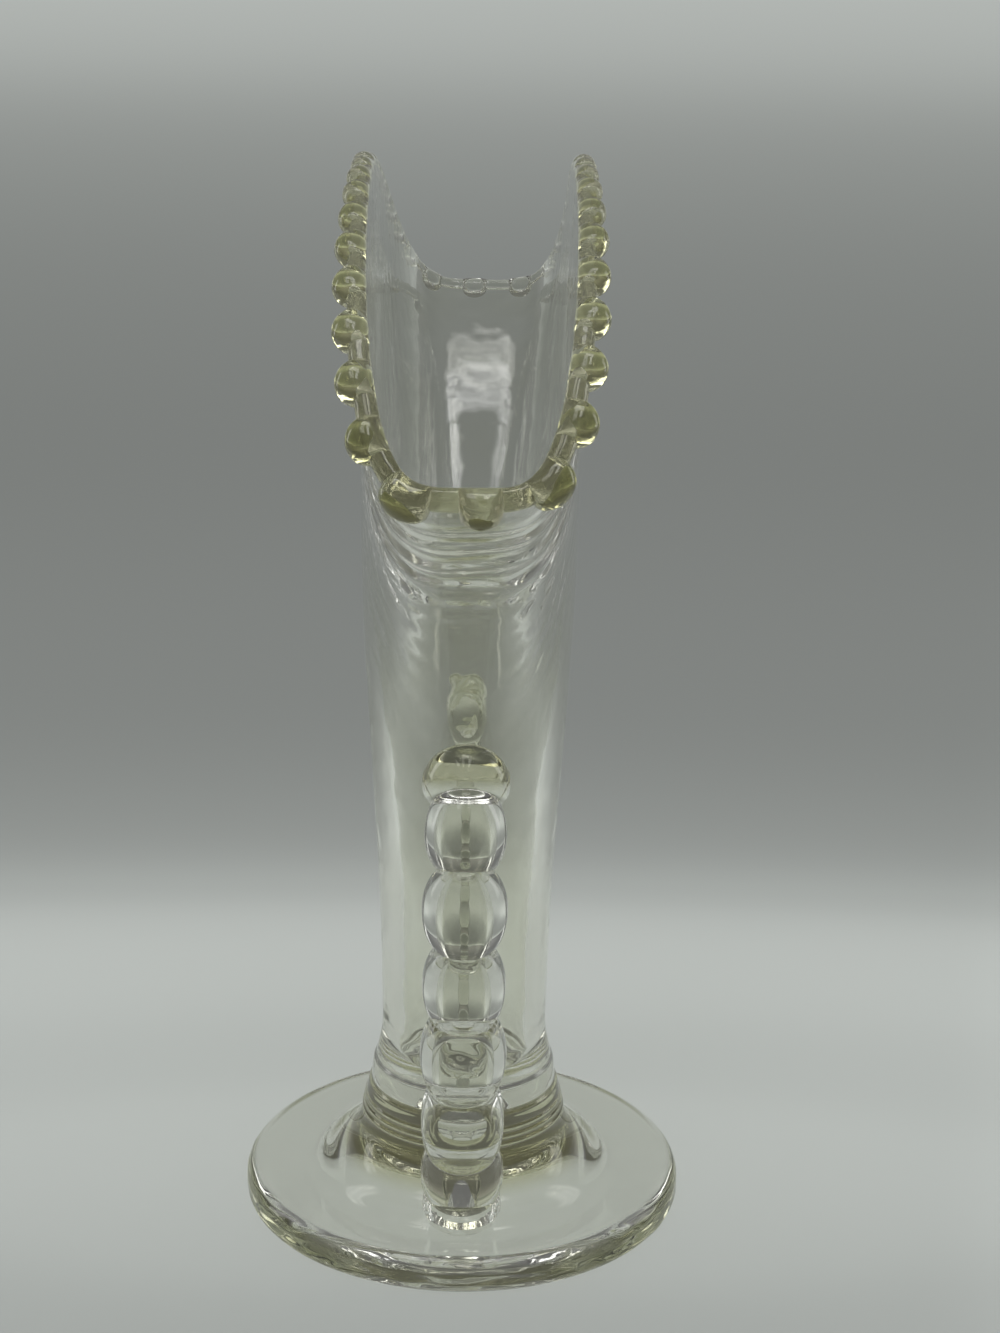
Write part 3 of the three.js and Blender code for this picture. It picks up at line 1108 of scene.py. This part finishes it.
def line_through(corners: np.ndarray, places: np.ndarray) -> np.ndarray:
    """Points on a smooth curve through corners.

    Args:
        corners: The points that the curve passes through.
        places: Where the points lie, counted in corners from the first.

    Returns:
        The points.
    """
    padded = np.concatenate([[2 * corners[0] - corners[1]], corners, [2 * corners[-1] - corners[-2]]])
    points = []
    for place in places:
        start = min(int(place), len(corners) - 2)
        t = place - start
        a, b, c, d = padded[start : start + 4]
        ab, bc, cd = (math.sqrt(np.linalg.norm(q - p)) for p, q in ((a, b), (b, c), (c, d)))
        leave = bc * ((b - a) / ab - (c - a) / (ab + bc) + (c - b) / bc)
        arrive = bc * ((c - b) / bc - (d - b) / (bc + cd) + (d - c) / cd)
        pull = (1 - t) * (1 - t) * t * leave - (1 - t) * t * t * arrive
        points.append(b * (1 - t) ** 2 * (1 + 2 * t) + c * t * t * (3 - 2 * t) + pull)
    return np.array(points)


@dataclass
class Handle:
    """An ear handle of eight beads that grow together, from the foot to the body's wall.

    The table of its waists and beads is in millimetres, from the lowest to the topmost. The last
    waist's reach isn't in it, because that waist lies on the wall.
    """

    wall: FanWall
    end: End
    waist_reaches: tuple[float, ...] = (25.5, 27.8, 31, 36.2, 39.9, 41.5, 40.4, 34)
    waist_heights: tuple[float, ...] = (6, 13.8, 24.4, 41, 57.2, 72.4, 87.8, 98.8, 103.4)
    waist_diameters: tuple[float, ...] = (14.4, 14.6, 13.6, 12.8, 11.8, 10.8, 10.2, 12.4, 11)
    bead_diameters: tuple[float, ...] = (15.4, 16.2, 16, 16.4, 15.6, 15.9, 15.2, 16.5)
    far_drop: float = 3.5
    rings_per_bead: int = 22
    facets: int = 240
    fullness: float = 0.25
    seam_height: float = 0.018
    seam_half_angle: float = math.radians(12.5)

    def waists(self) -> np.ndarray:
        """The waists' places, from inside the foot to the wall.

        Returns:
            One point for each waist.
        """
        heights = [height * MM for height in self.waist_heights]
        if self.end is End.FAR:
            heights[-2:] = [height - self.far_drop * MM for height in heights[-2:]]
        reaches = [reach * MM for reach in self.waist_reaches] + [self.wall.reach_at(heights[-1])]
        return np.array([(0, self.end.value * reach, height) for reach, height in zip(reaches, heights)])

    def line(self) -> BeadLine:
        """The handle's line with its beads' sizes.

        Returns:
            The line.
        """
        phase = (1 - np.cos(np.linspace(0, math.pi, self.rings_per_bead + 1))) / 2
        places, phases, bellies = [], [], []
        for bead, diameter in enumerate(self.bead_diameters):
            steps = phase if bead == 0 else phase[1:]
            places.append(bead + steps)
            phases.append(steps)
            bellies.append(np.full(len(steps), diameter * MM / 2))
        place = np.concatenate(places)
        waist = np.interp(place, np.arange(len(self.waist_diameters)), self.waist_diameters) * MM / 2
        points = line_through(self.waists(), place)
        return BeadLine(
            points, np.concatenate(phases), np.concatenate(bellies), waist, np.zeros_like(points),
            False, self.facets, self.fullness, self.seam_height, self.seam_half_angle,
        )

    def skin(self, beads: BeadTree, glass: bpy.types.Material, middle_of_wall: BVHTree) -> Skin:
        """The handle's surface, held back to the middle of the wall where it reaches through.

        Args:
            beads: The tree that threads beads.
            glass: The handle's finish.
            middle_of_wall: The middle of the body's wall.

        Returns:
            The closed surface.
        """
        skin = beads.thread(self.line(), glass)
        for i, point in enumerate(skin.points):
            if point[2] > self.waist_heights[-2] * MM:
                place, normal, _, _ = middle_of_wall.find_nearest(Vector(point))
                if (Vector(point) - place).dot(normal) < 0:
                    skin.points[i] = place
        return skin


@dataclass
class Rim:
    """The beads along the rim and the necks between them, one unbroken chain."""

    wall: FanWall
    beads: int = 40
    end_diameter: float = 7.1 * MM
    far_share: float = 0.72
    side_thickness: float = 4.3 * MM
    side_length: float = 6.6 * MM
    end_neck: float = 2.05 * MM
    side_neck: float = 1.35 * MM
    neck_out: float = 0.3 * MM
    first_offset: float = 1.9 * MM
    crowding: float = 0.06
    samples: int = 2880
    rings_per_bead: int = 14
    rings_per_neck: int = 5
    facets: int = 22
    fullness: float = 1.0

    def places(self) -> tuple[np.ndarray, np.ndarray, np.ndarray]:
        """Where the beads sit round the rim.

        Returns:
            The beads' distances round the rim, and the distances and turns of sample points.
        """
        turn = np.arange(self.samples + 1) / self.samples
        rim = self.wall.middle(turn, np.ones_like(turn))
        lengths = np.concatenate([[0], np.cumsum(np.linalg.norm(np.diff(rim, axis=0), axis=1))])
        first = self.first_offset / lengths[-1] / (1 + self.crowding)
        share = first + np.arange(self.beads) / self.beads
        share = share + self.crowding * np.sin(2 * math.pi * share) / (2 * math.pi)
        return share % 1 * lengths[-1], lengths, turn

    def line(self) -> BeadLine:
        """The rim's line with its beads' sizes.

        Returns:
            The line.
        """
        centres, lengths, turns = self.places()
        total = lengths[-1]
        distances, phases = [], []
        for bead, centre in enumerate(centres):
            half = self.half_length(self.at(centre, lengths, turns)[0])
            after = centres[(bead + 1) % self.beads] + (total if bead == self.beads - 1 else 0)
            next_half = self.half_length(self.at(after % total, lengths, turns)[0])
            swing = np.linspace(0, math.pi, self.rings_per_bead)
            distances.append(centre - half * np.cos(swing))
            phases.append((1 - np.cos(swing)) / 2)
            neck = np.linspace(centre + half, after - next_half, self.rings_per_neck + 2)[1:-1]
            distances.append(neck)
            phases.append(np.zeros(len(neck)))
        distance = np.concatenate(distances) % total
        middle, turn = self.at(distance, lengths, turns)
        outward = self.wall.outward(turn, np.ones_like(turn))
        reach = np.abs(middle[:, 1]) / (self.wall.span / 2)
        size = self.size_at(middle)
        return BeadLine(
            middle + outward * self.neck_out,
            np.concatenate(phases),
            size * mix(self.side_thickness, self.end_diameter, reach) / 2,
            size * mix(self.side_neck, self.end_neck, reach),
            outward,
            True,
            self.facets,
            self.fullness,
        )

    def size_at(self, middle: np.ndarray) -> np.ndarray:
        """How large the beads are at points of the rim: full size except towards the far end."""
        return mix(1, self.far_share, smoothstep(middle[..., 1], 0, self.wall.span / 2))

    def half_length(self, middle: np.ndarray) -> float:
        """Half the length of the bead at a point of the rim."""
        reach = abs(middle[1]) / (self.wall.span / 2)
        return float(self.size_at(middle)) * mix(self.side_length, self.end_diameter, reach) / 2

    def at(
        self, distance: np.ndarray, lengths: np.ndarray, turns: np.ndarray
    ) -> tuple[np.ndarray, np.ndarray]:
        """The points and turns at distances round the rim."""
        turn = np.interp(distance, lengths, turns)
        return self.wall.middle(turn, np.ones_like(turn)), turn

    def skin(self, beads: BeadTree, glass: bpy.types.Material) -> Skin:
        """The chain's surface."""
        return beads.thread(self.line(), glass)


@dataclass(frozen=True)
class Member:
    """What one member of the vase is made of, stands for and grows into.

    Args:
        finish: Its glass.
        slot: Its material slot. Not used.
        stands_for: How the names of the frame's nodes that it replaces start.
        meets: The members that it is fused into.
    """

    finish: GlassFinish
    slot: Slot
    stands_for: str
    meets: tuple[str, ...]


@dataclass
class Vase:
    """The whole vase: its members, fused where they meet."""

    HANDLES = ("near_handle", "far_handle")
    MEMBERS = {
        "foot": Member(FOOT_GLASS, Slot.FOOT, "foot", HANDLES),
        "collar": Member(COLLAR_GLASS, Slot.CLEAR, "collar", HANDLES),
        "body": Member(CLEAR_GLASS, Slot.CLEAR, "body", (*HANDLES, "rim_beads")),
        "near_handle": Member(NEAR_HANDLE_GLASS, Slot.CLEAR, "near_handle_", ("foot", "collar", "body")),
        "far_handle": Member(FAR_HANDLE_GLASS, Slot.CLEAR, "far_handle_", ("foot", "collar", "body")),
        "rim_beads": Member(RIM_GLASS, Slot.RIM, "rim_bead_", ("body",)),
    }

    wall: FanWall = field(default_factory=FanWall)
    wall_rows: int = 200
    seam_reach: float = 4 * MM
    seam_slack: float = 0.01 * MM

    def skins(self, glasses: dict[str, bpy.types.Material]) -> dict[str, Skin]:
        """Each member's surface, before it is fused.

        Args:
            glasses: The members' materials by name.

        Returns:
            The surfaces by the same names.
        """
        beads = BeadTree()
        collar = Collar(self.wall)
        middle = self.middle_of_wall()
        return {
            "foot": Foot(collar).skin(),
            "collar": collar.skin(),
            "body": Body(self.wall).skin(),
            "near_handle": Handle(self.wall, End.NEAR).skin(beads, glasses["near_handle"], middle),
            "far_handle": Handle(self.wall, End.FAR).skin(beads, glasses["far_handle"], middle),
            "rim_beads": Rim(self.wall).skin(beads, glasses["rim_beads"]),
        }

    def build(self) -> None:
        """Makes each member, fuses it into its neighbours and hands it to the frame."""
        glasses = {name: member.finish.make() for name, member in self.MEMBERS.items()}
        join = JoinFinish().make()
        skins = self.skins(glasses)
        trees = {name: skin.tree() for name, skin in skins.items()}
        for name, member in self.MEMBERS.items():
            others = [trees[other] for other in member.meets]
            fused = skins[name].fused_into(others, self.seam_reach, self.seam_slack)
            piece = fused.to_object(name, glasses[name], join)
            replaced = [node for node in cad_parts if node.startswith(member.stands_for)]
            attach(piece, "root")
            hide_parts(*replaced)
            log.info("%s: %d faces, stands for %d nodes", name, len(fused.faces), len(replaced))

    def middle_of_wall(self) -> BVHTree:
        """The middle of the body's wall, facing outwards, to measure from.

        Returns:
            Its search tree.
        """
        turn = np.arange(TURN_FACETS) / TURN_FACETS
        shares = np.linspace(0, 1, self.wall_rows)
        rows = [self.wall.middle(turn, np.full_like(turn, up)) for up in shares]
        return Skin.from_rows(rows, range(0)).tree()


@dataclass(frozen=True)
class Viewpoint:
    """The camera, at the photograph's place and angle.

    Args:
        place: Where it stands.
        pitch: How far it looks down, in radians.
        yaw: How far it is turned to the right of +Y.
        roll: How far it is turned about its own axis.
        focal_pixels: The focal length in pixels of the 1333 pixel tall picture.
    """

    place: tuple[float, float, float] = (1.0 * MM, -507.0 * MM, 280.4 * MM)
    pitch: float = 0.3161
    yaw: float = 0.0105
    roll: float = 0.0154
    focal_pixels: float = 2700.0
    picture_height: int = 1333
    sensor_mm: float = 36.0
    clip_start: float = 10 * MM

    def make(self) -> None:
        """Makes the scene's camera."""
        data = bpy.data.cameras.new("camera")
        data.sensor_width = self.sensor_mm
        data.lens = self.focal_pixels / self.picture_height * self.sensor_mm
        data.clip_start = self.clip_start
        camera = bpy.data.objects.new("camera", data)
        turn = (
            Matrix.Rotation(-self.yaw, 4, "Z")
            @ Matrix.Rotation(math.pi / 2 - self.pitch, 4, "X")
            @ Matrix.Rotation(self.roll, 4, "Z")
        )
        camera.matrix_world = Matrix.Translation(self.place) @ turn
        bpy.context.scene.collection.objects.link(camera)
        bpy.context.scene.camera = camera


@dataclass(frozen=True)
class Softbox:
    """One lamp of the studio: a panel that faces the vase.

    Args:
        name: The lamp's name.
        place: The panel's centre.
        size: Its width and height.
        radiance: How bright its face is.
        target: What it faces.
    """

    name: str
    place: tuple[float, float, float]
    size: tuple[float, float]
    radiance: float
    target: tuple[float, float, float] = (0, 0, 0.11)

    MIDDLE = 0.5
    SOFT_EDGE = 0.22
    MOTTLING = 4.0
    MOTTLE_ENDS = (0.35, 0.65)
    MOTTLE_LEVELS = (0.6, 1.4)

    def make(self) -> None:
        """Makes the lamp."""
        data = bpy.data.lights.new(self.name, "AREA")
        data.shape = "RECTANGLE"
        data.size, data.size_y = self.size
        data.energy = self.radiance * math.pi * self.size[0] * self.size[1]
        self.soften(data)
        lamp = bpy.data.objects.new(self.name, data)
        lamp.location = self.place
        way = Vector(self.target) - Vector(self.place)
        lamp.rotation_mode = "QUATERNION"
        lamp.rotation_quaternion = way.to_track_quat("-Z", "Y")
        lamp.visible_camera = False
        bpy.context.scene.collection.objects.link(lamp)

    def soften(self, data: bpy.types.AreaLight) -> None:
        """Fades the panel's light towards its edges and mottles it, like daylight through a window.

        Args:
            data: The lamp's data.
        """
        data.use_nodes = True
        graph = NodeGraph(data.node_tree)
        place = graph.add("ShaderNodeNewGeometry").outputs["Parametric"]
        clouds = graph.noise(place, self.MOTTLING)
        strength = graph.ranged(clouds, self.MOTTLE_ENDS, self.MOTTLE_LEVELS, "LINEAR")
        parts = graph.split(place)
        for axis in "XY":
            distance = graph.maths("ABSOLUTE", graph.maths("SUBTRACT", parts[axis], self.MIDDLE))
            fade = graph.ranged(distance, (self.MIDDLE, self.MIDDLE - self.SOFT_EDGE))
            strength = graph.maths("MULTIPLY", strength, fade)
        graph.feed(data.node_tree.nodes["Emission"], {"Strength": strength})


@dataclass
class Studio:
    """The pale floor with painted light on it, the plain surroundings and the soft lamps."""

    GRADE_POWER = 0.4
    # How many times wider the painted pool of light round the vase is along X.
    PAINTED_LIGHT_POOL_WIDENING = 3.0
    PAPER_TINT = {"Red": 0.978, "Green": 1.03, "Blue": 0.986}

    floor_size: float = 24.0
    floor_drop: float = 0.05 * MM
    # Painted light: the paper's level by distance from the vase, a painted pool of light round it that falls
    # off to grey and is pale again far off.
    fade: tuple[tuple[float, float], ...] = (
        (0.0, 0.50), (0.035, 0.49), (0.06, 0.465), (0.11, 0.495), (0.16, 0.39), (0.22, 0.275),
        (0.34, 0.235), (0.55, 0.235), (0.9, 0.265), (1.6, 0.36), (3.0, 0.58), (6.0, 0.64),
    )
    sky_light: float = 0.75
    horizon_seen: float = 0.30
    zenith_seen: float = 0.15
    side_seen: float = 0.3
    sides_from: tuple[float, float] = (0.45, 0.95)
    horizon_ends: float = 0.30
    light_bounces: int = 64
    # Painted light: the paper is painted brighter in strips beside the vase, out of the picture, where the
    # glass shows them.
    painted_light_strip_rises: tuple[float, float] = (0.19, 0.34)
    painted_light_strip_level: float = 1.35
    # Painted shade: the paper is painted darker towards the camera.
    painted_shade_front_falls: tuple[float, float] = (0.04, -0.18)
    painted_shade_front_level: float = 0.62
    lamps: tuple[Softbox, ...] = (
        Softbox("overhead_bar", (0.0, 0.04, 1.0), (0.76, 0.19), 3.6, (0.0, 0.04, 0.0)),
        Softbox("overhead_left", (0.145, -0.20, 1.0), (0.20, 0.42), 4.0, (0.145, -0.20, 0.0)),
        Softbox("overhead_right", (-0.24, -0.20, 1.0), (0.40, 0.42), 2.2, (-0.24, -0.20, 0.0)),
        Softbox("left_lamp", (-0.62, 0.20, 0.30), (0.16, 0.60), 2.0),
        Softbox("right_lamp", (0.62, 0.20, 0.30), (0.22, 0.60), 1.7),
    )

    def make(self) -> None:
        """Makes the studio round the vase."""
        bpy.context.scene.view_settings.view_transform = "Standard"
        cycles = bpy.context.scene.cycles
        cycles.max_bounces = cycles.transmission_bounces = self.light_bounces
        cycles.transparent_max_bounces = cycles.glossy_bounces = self.light_bounces
        self.make_floor()
        self.make_world()
        for lamp in self.lamps:
            lamp.make()

    def make_floor(self) -> None:
        """The floor: a painted pool of light by the vase and a darker grey towards the back."""
        half = self.floor_size / 2
        corners = [(-half, -half), (half, -half), (half, half), (-half, half)]
        mesh = bpy.data.meshes.new("floor")
        mesh.from_pydata([(x, y, -self.floor_drop) for x, y in corners], [], [(0, 1, 2, 3)])
        floor = bpy.data.objects.new("floor", mesh)
        bpy.context.scene.collection.objects.link(floor)
        mesh.materials.append(self.floor_paper_with_painted_light())

    def floor_paper_with_painted_light(self) -> bpy.types.Material:
        """The floor's paper with painted light, graded by the distance from the vase.

        It is a painted pool of light round the vase, grey beyond and pale again far off. Painted shade
        darkens it towards the camera, and painted light brightens it at the sides, out of the picture,
        where only the glass shows it.

        Returns:
            The material.
        """
        material = bpy.data.materials.new("floor_paper_with_painted_light")
        material.use_nodes = True
        graph = NodeGraph(material.node_tree)
        place = graph.add("ShaderNodeTexCoord").outputs["Object"]
        # Painted light: the pool round the vase, by the distance from it stretched along X.
        squashed = graph.vector_maths("MULTIPLY", place, (1 / self.PAINTED_LIGHT_POOL_WIDENING, 1, 1))
        reach = graph.vector_maths("LENGTH", squashed)
        share = graph.maths("MULTIPLY_ADD", reach, 1 / self.fade[-1][0], 0, clamped=True)
        level = graph.add("ShaderNodeFloatCurve", {"Value": graph.maths("POWER", share, self.GRADE_POWER)})
        self.draw_painted_light_fade(level.mapping)
        parts = graph.split(place)
        # Painted shade: darker towards the camera.
        painted_front_shade = graph.ranged(parts["Y"], self.painted_shade_front_falls, (1, self.painted_shade_front_level))
        # Painted light: the strips beside the vase, by the angle off the line from the camera's place.
        away = graph.maths("ADD", parts["Y"], -Viewpoint.place[1])
        angle = graph.maths("DIVIDE", graph.maths("ABSOLUTE", parts["X"]), away)
        strip = graph.ranged(angle, self.painted_light_strip_rises, (1, self.painted_light_strip_level))
        # The paper's colour carries the painted pool of light, the painted light at the sides and the
        # painted shade towards the camera.
        paper = graph.maths("MULTIPLY", graph.maths("MULTIPLY", level.outputs["Value"], painted_front_shade), strip)
        channels = {name: graph.maths("MULTIPLY", paper, scale) for name, scale in self.PAPER_TINT.items()}
        colour = graph.add("ShaderNodeCombineColor", channels).outputs["Color"]
        shader = material.node_tree.nodes["Principled BSDF"]
        graph.feed(shader, {"Base Color": colour, "Roughness": 1, "Specular IOR Level": 0})
        return material

    def draw_painted_light_fade(self, mapping: bpy.types.CurveMapping) -> None:
        """Draws the paper's painted light levels as a smooth curve.

        Args:
            mapping: The curve that is drawn.
        """
        curve = mapping.curves[0]
        shares = [(self.share_of(distance), level) for distance, level in self.fade]
        for share in shares[2:]:
            curve.points.new(*share)
        for point, share in zip(curve.points, shares):
            point.location = share
            point.handle_type = "AUTO_CLAMPED"
        mapping.update()

    def share_of(self, distance: float) -> float:
        """A distance from the vase as a share of the graded floor, stretched near the vase."""
        return (distance / self.fade[-1][0]) ** self.GRADE_POWER

    def make_world(self) -> None:
        """Plain light from all round, and a grey that darkens upwards where the surroundings are seen."""
        world = bpy.data.worlds.new("world")
        bpy.context.scene.world = world
        world.use_nodes = True
        nodes, graph = world.node_tree.nodes, NodeGraph(world.node_tree)
        way = graph.split(graph.add("ShaderNodeTexCoord").outputs["Generated"])
        fall = graph.ranged(way["Z"], (0, self.horizon_ends), (self.horizon_seen, self.zenith_seen))
        dimming = graph.ranged(graph.maths("ABSOLUTE", way["X"]), self.sides_from, (1, self.side_seen))
        seen = graph.feed(nodes["Background"], {"Color": graph.maths("MULTIPLY", fall, dimming)})
        light = graph.add("ShaderNodeBackground", {"Color": (*[self.sky_light] * 3, 1)})
        path = graph.add("ShaderNodeLightPath").outputs
        either = graph.maths("ADD", path["Is Camera Ray"], path["Is Glossy Ray"], clamped=True)
        every = graph.maths("ADD", either, path["Is Transmission Ray"], clamped=True)
        sides = {"Fac": every, 1: light.outputs["Background"], 2: seen.outputs["Background"]}
        blend = graph.add("ShaderNodeMixShader", sides)
        graph.feed(nodes["World Output"], {"Surface": blend.outputs["Shader"]})


def main() -> None:
    """Builds the camera, the vase and the studio in order."""
    logging.basicConfig(level=logging.INFO, format="%(name)s: %(message)s")
    Viewpoint().make()
    Vase().build()
    Studio().make()


if __name__ == "__main__":
    main()
